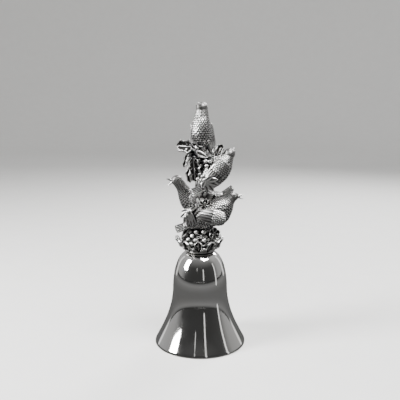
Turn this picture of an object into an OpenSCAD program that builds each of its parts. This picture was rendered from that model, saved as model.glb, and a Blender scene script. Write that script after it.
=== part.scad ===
// Plated table bell whose cast handle is four calling birds among holly.
// Millimetres. Origin: centre of the mouth's plane. Z up, X to the right, the front faces -Y.

/* [Bell] */
// Radius of the mouth
mouth_r = 19; // [16:0.5:24]
// Inner radius of the flat lip
lip_inner_r = 17.9; // [15:0.1:23]
// Height of the bell up to its crown
crown_z = 39.5; // [30:0.5:50]
// Height of the lip's outer edge
lip_h = 1.0; // [0.6:0.1:2]
// Radius of the waist
waist_r = 11.4; // [9:0.1:14]
// Height of the waist
waist_z = 23.8; // [18:0.1:30]
// Radius of the flat crown
crown_r = 5; // [4:0.1:7]
// Thickness of the spun wall
wall_t = 1.0; // [0.6:0.1:1.6]
// Steps along each half of the bell's curve
curve_steps = 12; // [6:1:20]

/* [Eye screw and clapper] */
// Radius of the screw's shank
shank_r = 1.5; // [1:0.1:2]
// Running clearance of the shank in its holes
shank_gap = 0.05; // [0.02:0.01:0.1]
// Height of the shank's top end
shank_top_z = 50; // [46:0.5:51]
// Radius of the screw's flange
flange_r = 2.4; // [2:0.1:3]
// Thickness of the screw's flange
flange_t = 0.8; // [0.5:0.1:1.2]
// Radius of the washer under the crown
washer_r = 3.4; // [2.6:0.1:4.2]
// Thickness of that washer
washer_t = 0.6; // [0.4:0.1:1]
// Mean radius of each wire ring
ring_r = 2.0; // [1.6:0.1:2.6]
// Radius of the rings' wire
ring_wire_r = 0.45; // [0.3:0.05:0.6]
// Height of the eye's lowest wire, which the link hangs on
eye_z = 33.0; // [30:0.5:35]
// Gap between one ring's wire and the next
ring_gap = 0.04; // [0.02:0.01:0.1]
// Radius of the clapper's stem
stem_r = 0.5; // [0.4:0.05:0.8]
// Radius of the clapper's ball
ball_r = 3.8; // [3:0.1:5]
// Height of the ball's centre
ball_z = 6.5; // [5:0.1:9]

/* [Collar] */
// Radius of the collar's foot
collar_foot_r = 6.2; // [5:0.1:8]
// Radius of the collar's brim
collar_brim_r = 8.6; // [7:0.1:10]
// Height of the collar
collar_h = 4.2; // [3:0.1:6]
// Leaves round the collar
collar_leaf_count = 11; // [7:1:14]
// Length of a collar leaf
collar_leaf_len = 5.2; // [4:0.1:7]
// Berries in each ring of the heap on the collar
collar_berry_count = 12; // [8:1:16]
// Radius of a collar berry
collar_berry_r = 0.95; // [0.6:0.05:1.2]

/* [Handle] */
// Radius of the cast stem that everything is soldered to
core_r = 2.7; // [2.2:0.1:3.6]
// Height of the stem's top end
core_top_z = 87; // [84:0.5:90]
// Radius of the mound's foot, under the lower birds
mound_r = 5.8; // [5:0.1:7]
// Height of the mound's top
mound_top_z = 51.5; // [50:0.5:54]
// Thickness of a cast leaf
leaf_t = 0.7; // [0.5:0.05:1]
// Radius of a small berry
berry_r = 0.65; // [0.5:0.05:0.9]

/* [Birds] */
// Thickness of a folded wing
wing_t = 1.7; // [1:0.1:2.2]
// Radius of the right bird's head
right_head_r = 2.25; // [2:0.05:2.6]
// Uphill slope of the right bird's body
right_slope = 20; // [10:1:30]
// Radius of the left bird's head
left_head_r = 2.35; // [2:0.05:2.6]
// Uphill slope of the left bird's body, towards its tail
left_slope = 24; // [10:1:35]
// Radius of the middle bird's head
middle_head_r = 2.4; // [2:0.05:2.6]
// Uphill slope of the middle bird's body
middle_slope = 47; // [35:1:60]
// Radius of the top bird's head
top_head_r = 2.45; // [2:0.05:2.6]
// Height of the top bird's head centre
top_head_z = 98.05; // [95:0.05:101]

/* [Hidden] */
$fn = 48;

// Centre of the flower at the collar's right
flower_at = [5.6, -5.6, 47.8];
// Where the stem stands on the mound
core_at = [0.4, 0.9];

silver = [0.86, 0.86, 0.87];
pewter = [0.52, 0.52, 0.54];
steel = [0.7, 0.7, 0.72];

// Control points [radius, height] of the two halves of the bell's outer curve
skirt = [[mouth_r - 0.15, lip_h], [mouth_r - 2.6, lip_h + 4.6],
         [waist_r + 0.15, waist_z - 10], [waist_r, waist_z]];
shoulder = [[waist_r, waist_z], [waist_r - 0.2, waist_z + 7.7],
            [crown_r + 4.4, crown_z - 1.3], [crown_r, crown_z]];
hole_r = shank_r + shank_gap;
inner_crown_z = crown_z - wall_t;
washer_z = inner_crown_z - washer_t;
pitch = 2 * ring_r - 2 * ring_wire_r - ring_gap;
link_eye_z = eye_z - pitch;
stem_ring_z = link_eye_z + 2 * ring_wire_r + ring_gap - ring_r;
collar_z = crown_z;
collar_top_z = collar_z + collar_h;
floor_z = collar_top_z - 0.9;

function bez(p, t) = p[0] * pow(1 - t, 3) + p[1] * 3 * t * pow(1 - t, 2)
                   + p[2] * 3 * t * t * (1 - t) + p[3] * pow(t, 3);
function bez_d(p, t) = (p[1] - p[0]) * 3 * pow(1 - t, 2) + (p[2] - p[1]) * 6 * t * (1 - t)
                     + (p[3] - p[2]) * 3 * t * t;
function inward(p, t) = let (d = bez_d(p, t), n = norm(d)) bez(p, t) + [-d[1], d[0]] * wall_t / n;
function edge(p, from) = [for (i = [from:curve_steps]) bez(p, i / curve_steps)];
function inner_edge(p, to) = [for (i = [curve_steps:-1:to]) inward(p, i / curve_steps)];
function lens(len, wid, n = 8) = concat(
    [for (i = [0:n]) [len * i / n, wid / 2 * pow(sin(180 * i / n), 0.8)]],
    [for (i = [n - 1:-1:1]) [len * i / n, -wid / 2 * pow(sin(180 * i / n), 0.8)]]);
function notch(i) = i % 2 == 1 ? 1 : 0.55;
function holly(len, wid, n = 8) = concat(
    [for (i = [0:n]) [len * i / n, wid / 2 * pow(sin(180 * i / n), 0.6) * notch(i)]],
    [for (i = [n - 1:-1:1]) [len * i / n, -wid / 2 * pow(sin(180 * i / n), 0.6) * notch(i)]]);

// A round body whose long axis climbs to the right
module egg(at, slope, half_len, r) {
    translate(at) rotate([0, 90 - slope, 0]) rotate_extrude()
        polygon([for (i = [0:12]) [r * cos(15 * i - 90), half_len * sin(15 * i - 90)]]);
}

// A folded wing whose tip is at the lower left
module wing(tip, slope, len, wid) {
    translate(tip) rotate([90, -slope, 0]) linear_extrude(wing_t) polygon(lens(len, wid));
}

module ball(at, r) {
    translate(at) sphere(r = r);
}

module limb(a, b, ra, rb) {
    d = b - a;
    translate(a) rotate([0, acos(d[2] / norm(d)), atan2(d[1], d[0])]) cylinder(h = norm(d), r1 = ra, r2 = rb);
}

module beak(root, upper_tip, lower_tip, r) {
    limb(root, upper_tip, r, 0.22);
    limb(root, lower_tip, r * 0.8, 0.18);
}

module wire_ring(z) {
    translate([0, 0, z]) rotate([90, 0, 0]) rotate_extrude() translate([ring_r, 0]) circle(r = ring_wire_r);
}

// A leaf that grows along +X from its stalk, with its face towards +Z
module plain_leaf(at, turn, len, wid) {
    translate(at) rotate(turn) {
        translate([0, 0, -leaf_t / 2]) linear_extrude(leaf_t) polygon(lens(len, wid));
        translate([0, 0, leaf_t / 2 - 0.1]) rotate([0, 90, 0]) cylinder(h = len * 0.9, r1 = 0.28, r2 = 0.12);
    }
}

module holly_leaf(at, turn, len, wid) {
    translate(at) rotate(turn) {
        translate([0, 0, -leaf_t / 2]) linear_extrude(leaf_t) polygon(holly(len, wid));
        translate([0, 0, leaf_t / 2 - 0.1]) rotate([0, 90, 0]) cylinder(h = len * 0.9, r1 = 0.32, r2 = 0.12);
    }
}

module tail(at, turn, len, wid, root_wid) {
    translate(at) rotate(turn) translate([0, 0, -0.6]) linear_extrude(1.2)
        polygon([[0, -root_wid / 2], [len, -wid / 2], [len, wid / 2], [0, root_wid / 2]]);
}

module core_space() {
    translate([core_at[0], core_at[1], mound_top_z]) cylinder(h = core_top_z - mound_top_z, r = core_r);
}

module mound_space() {
    translate([0, 0, floor_z]) cylinder(h = mound_top_z - floor_z, r1 = mound_r, r2 = mound_r - 1.2);
}

module bell_shell() {
    color(silver) rotate_extrude($fn = 120) polygon(concat(
        [[lip_inner_r, 0], [mouth_r, 0], [mouth_r, lip_h * 0.6]],
        edge(skirt, 0), edge(shoulder, 1),
        [[hole_r, crown_z], [hole_r, inner_crown_z]],
        inner_edge(shoulder, 0), inner_edge(skirt, 0)));
}

module crown_washer() {
    color(steel) translate([0, 0, washer_z]) difference() {
        cylinder(h = washer_t, r = washer_r);
        translate([0, 0, -1]) cylinder(h = washer_t + 2, r = hole_r);
    }
}

module eye_screw() {
    color(steel) {
        translate([0, 0, washer_z - flange_t]) cylinder(h = flange_t, r = flange_r);
        translate([0, 0, washer_z - flange_t]) cylinder(h = shank_top_z - washer_z + flange_t, r = shank_r);
        wire_ring(eye_z + ring_r);
    }
}

module clapper_link() {
    color(steel) rotate([0, 0, 90]) wire_ring(link_eye_z + ring_r);
}

module clapper_stem() {
    color(steel) {
        wire_ring(stem_ring_z);
        translate([0, 0, ball_z + ball_r]) cylinder(h = stem_ring_z - ring_r - ball_z - ball_r, r = stem_r);
    }
}

module clapper_ball() {
    color(silver) difference() {
        ball([0, 0, ball_z], ball_r);
        translate([0, 0, ball_z + ball_r - 0.2]) cylinder(h = 2, r = 2);
    }
}

module collar_cup() {
    color(pewter) difference() {
        rotate_extrude() polygon([
            [hole_r, collar_z], [collar_foot_r, collar_z], [collar_foot_r + 0.3, collar_z + 0.5],
            [collar_foot_r, collar_z + 1.0], [collar_foot_r + 0.6, collar_z + 2.2],
            [collar_brim_r, collar_top_z - 0.4], [collar_brim_r - 0.3, collar_top_z],
            [collar_brim_r - 1.4, floor_z], [hole_r, floor_z]]);
    }
}

module collar_leaves() {
    color(pewter) difference() {
        for (i = [0:collar_leaf_count - 1])
            rotate([0, 0, 360 / collar_leaf_count * i + 4])
                holly_leaf([collar_foot_r + 0.5, 0, collar_z + 1.6], [0, i % 2 == 0 ? -30 : -42, 0],
                           collar_leaf_len + 0.8 * (i % 2), 4.0);
        rotate_extrude() polygon([
            [0, collar_z], [collar_foot_r, collar_z], [collar_foot_r + 0.3, collar_z + 0.5],
            [collar_foot_r, collar_z + 1.0], [collar_foot_r + 0.6, collar_z + 2.2],
            [collar_brim_r, collar_top_z - 0.4], [collar_brim_r - 0.3, collar_top_z], [0, collar_top_z]]);
    }
}

module collar_berries() {
    color(pewter) difference() {
        for (ring = [0:3]) for (i = [0:collar_berry_count - 1]) {
            a = 360 / collar_berry_count * (i + 0.5 * (ring % 2));
            r = 7.2 - 0.5 * ring;
            at = [r * cos(a), r * sin(a), floor_z + 0.8 + 1.6 * ring];
            if (norm(at - flower_at) > 4.1) ball(at, collar_berry_r);
        }
        mound_space();
        translate([0, 0, collar_z]) cylinder(h = floor_z - collar_z, r = 9);
    }
}

module poinsettia() {
    color(pewter) difference() {
        translate(flower_at) rotate([78, 0, 30]) {
            for (i = [0:5]) rotate([0, -12, 60 * i]) translate([0.4, 0, -leaf_t / 2])
                linear_extrude(leaf_t) polygon(lens(2.7, 1.9));
            ball([0, 0, 0.5], 0.85);
            translate([0, 0, -2.8]) cylinder(h = 2.8, r = 1.0);
        }
        mound_space();
    }
}

module handle_core() {
    color(pewter) difference() {
        union() {
            core_space();
            mound_space();
        }
        translate([0, 0, collar_z]) cylinder(h = shank_top_z + 0.5 - collar_z, r = hole_r);
    }
}

module right_bird() {
    color(pewter) difference() {
        union() {
            egg([2.4, -4.0, 55.0], right_slope, 8.9, 4.75);
            egg([8.1, -3.9, 55.9], 90, 6.0, 4.8);
            limb([8.8, -3.6, 58.0], [12.9, -3.2, 62.4], 4.2, 2.1);
            ball([13.3, -3.2, 62.8], right_head_r);
            beak([14.6, -3.2, 62.9], [17.2, -3.3, 63.4], [16.8, -3.3, 61.5], 0.85);
            wing([-2.6, -7.2, 56.0], -8, 13.2, 6.6);
            tail([-3.2, -4.4, 51.9], [0, -20, 182], 7.2, 3.4, 3.0);
        }
        core_space();
        mound_space();
    }
}

module left_bird() {
    color(pewter) difference() {
        union() {
            egg([2.0, 5.9, 59.4], left_slope * 0.5, 8.8, 4.85);
            egg([-3.8, 5.8, 59.0], 90, 5.6, 4.7);
            limb([-5.2, 5.0, 61.0], [-9.1, 3.3, 68.0], 3.3, 2.1);
            ball([-9.6, 3.1, 68.6], left_head_r);
            beak([-10.9, 3.0, 68.4], [-13.1, 2.8, 68.9], [-11.8, 2.8, 65.3], 0.9);
            wing([-4.2, 10.8, 58.6], left_slope * 0.4, 13.0, 6.4);
            tail([6.4, 6.2, 60.6], [0, -left_slope * 1.4, 4], 8.8, 3.4, 3.2);
        }
        core_space();
        mound_space();
    }
}

module middle_bird() {
    color(pewter) difference() {
        union() {
            egg([6.4, -2.8, 72.6], middle_slope, 8.2, 4.95);
            limb([9.0, -2.6, 75.9], [11.7, -2.0, 79.6], 3.7, 2.2);
            ball([11.8, -2.0, 79.7], middle_head_r);
            beak([12.5, -0.8, 80.7], [13.8, 1.7, 82.0], [14.2, 1.4, 80.4], 0.85);
            wing([2.6, -6.3, 67.6], middle_slope, 13.2, 6.6);
            tail([3.8, -4.2, 67.6], [0, -28, 180], 8.2, 3.6, 3.4);
        }
        core_space();
    }
}

module top_bird() {
    color(pewter) difference() {
        union() {
            egg([0.4, -0.6, 88.4], 88, 6.4, 4.65);
            limb([0.5, -0.5, 91.6], [0.8, -0.6, 97.6], 3.6, 2.2);
            ball([0.8, -0.6, top_head_z], top_head_r);
            beak([0.2, -2.0, top_head_z + 0.5], [-0.9, -4.4, 100.1], [-0.8, -4.5, 98.0], 0.9);
            egg([-2.5, 0.7, 88.2], 84, 3.5, 2.7);
            egg([4.4, 1.2, 85.9], 104, 5.3, 3.5);
            tail([3.4, 3.2, 84.6], [0, 58, 46], 7.6, 3.4, 3.2);
        }
        core_space();
    }
}

module left_spray() {
    color(pewter) difference() {
        union() {
            plain_leaf([-1.9, -7.4, 57.4], [74, 62, 4], 6.4, 1.7);
            plain_leaf([-2.6, -7.5, 56.4], [74, 74, 2], 6.2, 1.8);
            plain_leaf([-3.2, -7.3, 56.6], [74, 90, 0], 6.0, 1.8);
            plain_leaf([-3.4, -7.0, 56.8], [76, 118, -4], 5.6, 1.7);
            plain_leaf([-3.6, -6.6, 57.0], [76, 150, -8], 5.0, 1.7);
            limb([-3.2, -7.2, 56.6], [-2.4, -3.0, 56.4], 1.1, 1.4);
            ball([-4.6, -7.6, 57.2], berry_r * 1.3);
            ball([-5.6, -7.2, 54.9], berry_r * 1.2);
        }
        core_space();
        mound_space();
    }
}

module back_rosette() {
    color(pewter) difference() {
        union() {
            for (i = [0:6]) translate([2.0, -6.0, 60.2]) rotate([50, 0, 4]) rotate([0, 0, 360 / 7 * i])
                plain_leaf([0.3, 0, 0], [0, -14, 0], 2.6, 1.4);
            ball([2.0, -6.3, 60.4], 0.8);
            limb([2.0, -6.0, 60.2], [1.4, -3.4, 58.4], 0.9, 1.3);
        }
        core_space();
    }
}

module front_spray() {
    color(pewter) difference() {
        union() {
            plain_leaf([3.0, -7.8, 69.6], [90, -168, 0], 4.6, 1.7);
            plain_leaf([2.6, -8.0, 69.4], [84, 56, 4], 5.2, 1.8);
            plain_leaf([3.2, -8.2, 69.3], [84, 34, 2], 5.4, 1.9);
            plain_leaf([3.8, -8.3, 69.4], [84, 14, 0], 5.4, 1.9);
            plain_leaf([4.2, -8.2, 69.8], [84, -6, 0], 5.0, 1.8);
            plain_leaf([2.0, -7.8, 69.6], [84, 86, 4], 4.8, 1.7);
            limb([3.2, -8.0, 69.6], [2.0, -2.6, 70.0], 1.1, 1.4);
        }
        core_space();
    }
}

module front_berries() {
    color(pewter) {
        ball([1.1, -8.3, 71.6], berry_r * 1.2);
        ball([-0.9, -7.6, 70.4], berry_r * 1.2);
        ball([0.5, -8.0, 70.2], berry_r);
    }
}

module hanging_leaves() {
    color(pewter) difference() {
        union() {
            holly_leaf([-1.2, -5.2, 79.2], [78, 100, 0], 10.2, 5.4);
            plain_leaf([-3.8, -4.9, 80.6], [80, 108, -10], 6.4, 2.2);
            plain_leaf([-4.4, -4.8, 74.4], [80, 96, -10], 5.8, 2.1);
            limb([-1.6, -5.2, 78.8], [-0.6, -2.4, 77.6], 1.2, 1.5);
            limb([-4.2, -5.0, 74.4], [-1.4, -2.4, 74.4], 0.9, 1.3);
            limb([-4.0, -5.0, 80.0], [-1.4, -2.2, 79.4], 0.9, 1.3);
        }
        core_space();
    }
}

module upper_leaf() {
    color(pewter) difference() {
        union() {
            holly_leaf([-3.2, -5.4, 82.2], [82, -164, 0], 5.8, 5.6);
            limb([-3.6, -5.4, 82.3], [-1.4, -2.0, 81.6], 1.0, 1.5);
        }
        core_space();
    }
}

module upper_band() {
    color(pewter) difference() {
        union() {
            holly_leaf([-3.2, -5.6, 82.0], [70, 24, 10], 7.6, 4.2);
            plain_leaf([-1.6, -5.4, 80.4], [76, 22, 6], 6.0, 2.4);
            limb([-2.4, -5.6, 81.8], [-0.6, -2.6, 81.0], 1.2, 1.5);
        }
        core_space();
    }
}

module upper_berries() {
    color(pewter) {
        ball([2.2, -6.0, 77.2], berry_r * 1.2);
        ball([3.9, -6.2, 77.2], berry_r * 1.2);
        ball([2.6, -6.4, 75.4], berry_r * 1.2);
        limb([2.9, -6.0, 76.8], [1.4, -2.6, 77.2], 0.7, 1.1);
    }
}

module curled_leaves() {
    color(pewter) difference() {
        union() {
            plain_leaf([5.2, -2.2, 78.6], [84, -64, -6], 5.4, 2.2);
            plain_leaf([5.6, -2.0, 78.8], [84, -42, 6], 5.4, 2.2);
            limb([5.4, -2.2, 78.9], [1.8, -1.4, 78.6], 0.9, 1.4);
            ball([6.3, -3.4, 78.4], berry_r * 1.2);
        }
        core_space();
    }
}

module rear_sprig() {
    color(pewter) difference() {
        union() {
            holly_leaf([0.4, 5.4, 78.6], [-80, 96, 0], 9.4, 5.2);
            holly_leaf([-1.4, 5.2, 79.6], [-80, 150, 6], 6.6, 4.6);
            holly_leaf([2.0, 5.2, 78.6], [-80, 40, -6], 6.8, 4.6);
            limb([0.2, 5.6, 78.6], [0.2, 2.4, 77.8], 1.4, 1.7);
        }
        core_space();
    }
}

module rear_berries() {
    color(pewter) {
        ball([0.3, 6.3, 79.6], berry_r * 1.2);
        ball([1.7, 6.2, 78.6], berry_r * 1.2);
        ball([-1.2, 6.2, 78.7], berry_r * 1.2);
    }
}

bell_shell();
crown_washer();
eye_screw();
clapper_link();
clapper_stem();
clapper_ball();
collar_cup();
collar_leaves();
collar_berries();
poinsettia();
handle_core();
right_bird();
left_bird();
middle_bird();
top_bird();
left_spray();
back_rosette();
front_spray();
front_berries();
hanging_leaves();
upper_leaf();
upper_band();
upper_berries();
curled_leaves();
rear_sprig();
rear_berries();
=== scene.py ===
"""A plated hand bell whose cast handle is four calling birds among holly, berries and a flower.

Shapes are worked out in millimetres, in the frame's axes, and become metres when a mesh is made.
Each casting is a group of closed shells: lofted bodies, and plates that carry feathers, veins and
rims in relief."""

import math

import bmesh
import bpy
import numpy as np
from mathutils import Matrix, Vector


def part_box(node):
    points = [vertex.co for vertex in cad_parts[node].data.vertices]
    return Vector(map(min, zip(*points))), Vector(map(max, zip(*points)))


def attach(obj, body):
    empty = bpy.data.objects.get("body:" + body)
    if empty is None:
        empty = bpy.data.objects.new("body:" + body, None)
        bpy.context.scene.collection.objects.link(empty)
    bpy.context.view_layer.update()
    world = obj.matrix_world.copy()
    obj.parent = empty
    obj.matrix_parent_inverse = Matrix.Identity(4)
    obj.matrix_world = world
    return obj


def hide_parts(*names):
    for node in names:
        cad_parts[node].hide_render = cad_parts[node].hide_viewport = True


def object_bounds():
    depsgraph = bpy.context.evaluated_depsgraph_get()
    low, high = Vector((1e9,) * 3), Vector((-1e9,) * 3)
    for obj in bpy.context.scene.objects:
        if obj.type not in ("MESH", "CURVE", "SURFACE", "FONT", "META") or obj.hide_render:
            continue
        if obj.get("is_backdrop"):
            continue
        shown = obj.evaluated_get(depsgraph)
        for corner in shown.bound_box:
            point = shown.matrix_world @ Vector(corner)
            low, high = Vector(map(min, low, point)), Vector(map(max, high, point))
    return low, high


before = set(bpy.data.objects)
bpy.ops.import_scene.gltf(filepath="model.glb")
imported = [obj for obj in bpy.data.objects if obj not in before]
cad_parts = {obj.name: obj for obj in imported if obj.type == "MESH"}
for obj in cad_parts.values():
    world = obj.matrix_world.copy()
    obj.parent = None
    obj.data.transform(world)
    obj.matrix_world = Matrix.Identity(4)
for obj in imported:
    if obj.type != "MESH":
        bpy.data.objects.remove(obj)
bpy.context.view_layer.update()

MM = 0.001
# What the lamps and cards face, and the radius of the tent around them, in metres
MIDDLE = Vector((0, 0, 0.05))
TENT = 0.8
# How a casting wears: the wear of plain metal, the height in millimetres that adds 1 to it, the share
# of a shell's own tone, and the rounds of smoothing that height is measured against
PLAIN_WEAR = 0.42
WEAR_HEIGHT = 0.16
TONE_SHARE = 0.7
WEAR_ROUNDS = 14

# ---------------------------------------------------------------- curves and frames


def unit(v):
    """A vector, or each row of an array of them, at length 1."""
    v = np.asarray(v, float)
    return v / np.linalg.norm(v, axis=-1, keepdims=True)


def smooth(value, low, high):
    """An eased step from 0 at low to 1 at high."""
    t = np.clip((value - low) / (high - low), 0, 1)
    return t * t * (3 - 2 * t)


def spline(rows, count):
    """A smooth curve through rows of numbers, as count rows."""
    rows = np.asarray(rows, float)
    padded = np.vstack([2 * rows[0] - rows[1], rows, 2 * rows[-1] - rows[-2]])
    t = np.linspace(0, len(rows) - 1, count)
    i = np.minimum(t.astype(int), len(rows) - 2)
    f = (t - i)[:, None]
    a, b, c, d = (padded[i + k] for k in range(4))
    square = (2 * a - 5 * b + 4 * c - d) * f**2
    cube = (3 * b - a - 3 * c + d) * f**3
    return 0.5 * (2 * b + (c - a) * f + square + cube)


def circle(count):
    """Angles round a circle, in radians."""
    return np.linspace(0, 2 * math.pi, count, endpoint=False)


def ball_grid(rows, columns):
    """Angles down from a ball's top, its two poles left out, and angles round it, as a grid."""
    return np.linspace(0, math.pi, rows)[1:-1, None], circle(columns)[None, :]


def placed(rings, at, along, facing):
    """Moves rings so that their origin goes to at, +X points along and +Z faces facing."""
    x = unit(along)
    z = np.asarray(facing, float)
    z = unit(z - x * np.dot(z, x))
    return np.asarray(at, float) + rings @ np.stack([x, np.cross(z, x), z])


def curled(rings, radius):
    """Bends rings about a line across +X, so that the far end drops away from +Z."""
    angle = rings[..., 0] / radius
    reach = radius + rings[..., 2]
    return np.stack([reach * np.sin(angle), rings[..., 1], reach * np.cos(angle) - radius], -1)


class Casting:
    """Closed shells that make up one piece."""

    def __init__(self):
        self.points, self.tones, self.faces, self.total = [], [], [], 0

    def shell(self, rings, tone=None, tyre=False):
        """Adds a closed shell through rings of points, an array of rings by points by 3.

        tone, from 0 for tarnished to 1 for rubbed bright, has a value for each point. A tyre's last
        ring joins its first, and any other shell has a cap at each end."""
        rows, around = rings.shape[:2]
        tone = np.full((rows, around), 0.5) if tone is None else tone
        i, j = np.meshgrid(np.arange(rows if tyre else rows - 1), np.arange(around), indexing="ij")
        k, below = (j + 1) % around, (i + 1) % rows
        corners = [i * around + j, below * around + j, below * around + k, i * around + k]
        self.faces += (np.stack(corners, -1).reshape(-1, 4) + self.total).tolist()
        self.points.append(rings.reshape(-1, 3))
        self.tones.append(tone.ravel())
        if not tyre:
            j = np.arange(around)
            k, last, first_tip = (j + 1) % around, (rows - 1) * around, rows * around
            caps = [
                np.stack([k, j, np.full(around, first_tip)], -1),
                np.stack([last + j, last + k, np.full(around, first_tip + 1)], -1),
            ]
            self.faces += (np.vstack(caps) + self.total).tolist()
            self.points += [rings[0].mean(0)[None], rings[-1].mean(0)[None]]
            self.tones += [tone[0].mean()[None], tone[-1].mean()[None]]
        self.total += rows * around + (0 if tyre else 2)

    def ball(self, at, radius, up=(0, 0, 1), rows=16):
        """A ball with a shallow dimple at its top."""
        a, b = ball_grid(rows, rows * 2)
        r = radius * (1 - 0.12 * np.exp(-((a / 0.35) ** 2)))
        across = r * np.sin(a)
        rings = np.stack([r * np.cos(a) + 0 * b, across * np.cos(b), across * np.sin(b)], -1)
        side = (0, 1, 0) if abs(unit(up)[1]) < 0.9 else (1, 0, 0)
        self.shell(placed(rings, at, up, side))

    def tube(self, path, radii, around=18, count=16, bark=0.0):
        """A round limb along a smooth path. bark is how deep its twisting ridges are."""
        line = spline(np.column_stack([path, radii]), count)
        ahead = np.gradient(line[:, :3], axis=0)
        a = circle(around)
        twist = np.linspace(0, 3.0, count)[:, None]
        ridge = np.cos(5 * a + 2 * twist) + 0.5 * np.cos(9 * twist * math.pi + 0 * a)
        rings = []
        for (x, y, z, r), d, rise in zip(line, ahead, 1 + bark * ridge):
            d = unit(d)
            side = unit(np.cross(d, (0.13, 0.31, 0.94) if abs(d[2]) < 0.9 else (1, 0, 0)))
            up = np.cross(d, side)
            out = np.outer(np.cos(a), side) + np.outer(np.sin(a), up)
            rings.append(np.array([x, y, z]) + max(r, 0.02) * rise[:, None] * out)
        self.shell(np.array(rings), np.clip(0.45 + bark * 2 * ridge, 0, 1))

    def twig(self, start, end, radius, root_radius):
        """A ridged stalk that runs from a leaf back into the handle."""
        self.tube([start, end], [radius, root_radius], around=40, count=36, bark=0.13)


# ---------------------------------------------------------------- pieces and materials


def standing(mesh):
    """How far each point stands above or below the surface around it, in millimetres."""
    count = len(mesh.vertices)
    co, normal = np.empty(count * 3), np.empty(count * 3)
    mesh.vertices.foreach_get("co", co)
    mesh.vertices.foreach_get("normal", normal)
    edge = np.empty(len(mesh.edges) * 2, np.int32)
    mesh.edges.foreach_get("vertices", edge)
    co, normal, edge = co.reshape(-1, 3) / MM, normal.reshape(-1, 3), edge.reshape(-1, 2)
    a, b = np.concatenate([edge, edge[:, ::-1]]).T
    touching = np.maximum(np.bincount(a, minlength=count), 1)
    worn = co
    for _ in range(WEAR_ROUNDS):
        near = np.stack([np.bincount(a, worn[b, k], count) for k in range(3)], -1)
        worn = 0.4 * worn + 0.6 * near / touching[:, None]
    return ((co - worn) * normal).sum(1)


def piece(name, casting, material, node):
    """Makes the casting's mesh, in metres, and puts it on the bell's body in place of its CAD node."""
    mesh = bpy.data.meshes.new(name)
    mesh.from_pydata((np.vstack(casting.points) * MM).tolist(), [], casting.faces)
    work = bmesh.new()
    work.from_mesh(mesh)
    bmesh.ops.recalc_face_normals(work, faces=work.faces)
    work.to_mesh(mesh)
    work.free()
    mesh.shade_smooth()
    tone = np.concatenate(casting.tones) - 0.5
    worn = PLAIN_WEAR + standing(mesh) / WEAR_HEIGHT + TONE_SHARE * tone
    relief = mesh.attributes.new("relief", "FLOAT", "POINT")
    relief.data.foreach_set("value", np.clip(worn, 0, 1).astype(np.float32))
    mesh.materials.append(material)
    obj = bpy.data.objects.new(name, mesh)
    bpy.context.scene.collection.objects.link(obj)
    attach(obj, "bell")
    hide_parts(node)


class Shader:
    """A material's node tree, with short ways to add and join nodes."""

    def __init__(self, name):
        self.material = bpy.data.materials.new(name)
        self.material.use_nodes = True
        self.nodes = self.material.node_tree.nodes
        self.links = self.material.node_tree.links
        self.main = self.nodes["Principled BSDF"]

    def add(self, kind, **values):
        """Adds a node. Each value sets its property of that name, or else its input."""
        node = self.nodes.new(kind)
        for key, value in values.items():
            if hasattr(node, key):
                setattr(node, key, value)
            else:
                node.inputs[key.replace("_", " ").title()].default_value = value
        return node

    def join(self, source, target):
        self.links.new(source, target)

    def noise(self, scale, detail=4.0, rough=0.6):
        """Cloudy noise in object space, whose lumps are about 1/scale metres across."""
        where = self.add("ShaderNodeTexCoord")
        node = self.add("ShaderNodeTexNoise", scale=scale, detail=detail, roughness=rough)
        self.join(where.outputs["Object"], node.inputs["Vector"])
        return node.outputs["Fac"]

    def ramp(self, source, stops):
        node = self.add("ShaderNodeValToRGB")
        while len(node.color_ramp.elements) < len(stops):
            node.color_ramp.elements.new(0.5)
        for element, (at, colour) in zip(node.color_ramp.elements, stops):
            element.position = at
            element.color = (*colour, 1)
        self.join(source, node.inputs["Fac"])
        return node.outputs["Color"]

    def grey_ramp(self, source, stops):
        return self.ramp(source, [(at, (level, level, level)) for at, level in stops])

    def maths(self, operation, first, second):
        node = self.add("ShaderNodeMath", operation=operation)
        for socket, value in zip(node.inputs, (first, second)):
            if isinstance(value, (int, float)):
                socket.default_value = value
            else:
                self.join(value, socket)
        return node.outputs["Value"]

    def bump(self, height, strength, distance):
        node = self.add("ShaderNodeBump", strength=strength, distance=distance)
        self.join(height, node.inputs["Height"])
        self.join(node.outputs["Normal"], self.main.inputs["Normal"])


def pewter():
    """Cast pewter: black oxide in the hollows, soft grey slopes and worn bright ridges."""
    s = Shader("pewter")
    dark, bright = 0.03, 0.66
    relief = s.add("ShaderNodeAttribute", attribute_name="relief").outputs["Fac"]
    shelter = s.add("ShaderNodeAmbientOcclusion", samples=8, distance=0.0016)
    mottled = s.maths("MULTIPLY", s.maths("SUBTRACT", s.noise(1400), 0.5), 0.22)
    age = s.maths("ADD", relief, mottled)
    age = s.maths("MULTIPLY", age, s.maths("POWER", shelter.outputs["AO"], 1.35))
    colour = s.ramp(
        age,
        [
            (0.16, (dark, dark * 0.96, dark * 0.92)),
            (0.36, (0.17, 0.167, 0.163)),
            (0.50, (0.35, 0.345, 0.34)),
            (0.70, (bright, bright * 0.99, bright * 0.97)),
        ],
    )
    s.join(colour, s.main.inputs["Base Color"])
    s.join(s.grey_ramp(age, [(0.2, 0.68), (0.45, 0.44), (0.72, 0.3)]), s.main.inputs["Roughness"])
    s.main.inputs["Metallic"].default_value = 1.0
    s.bump(s.noise(5200, 3.0), 0.18, 0.00006)
    return s.material


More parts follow.
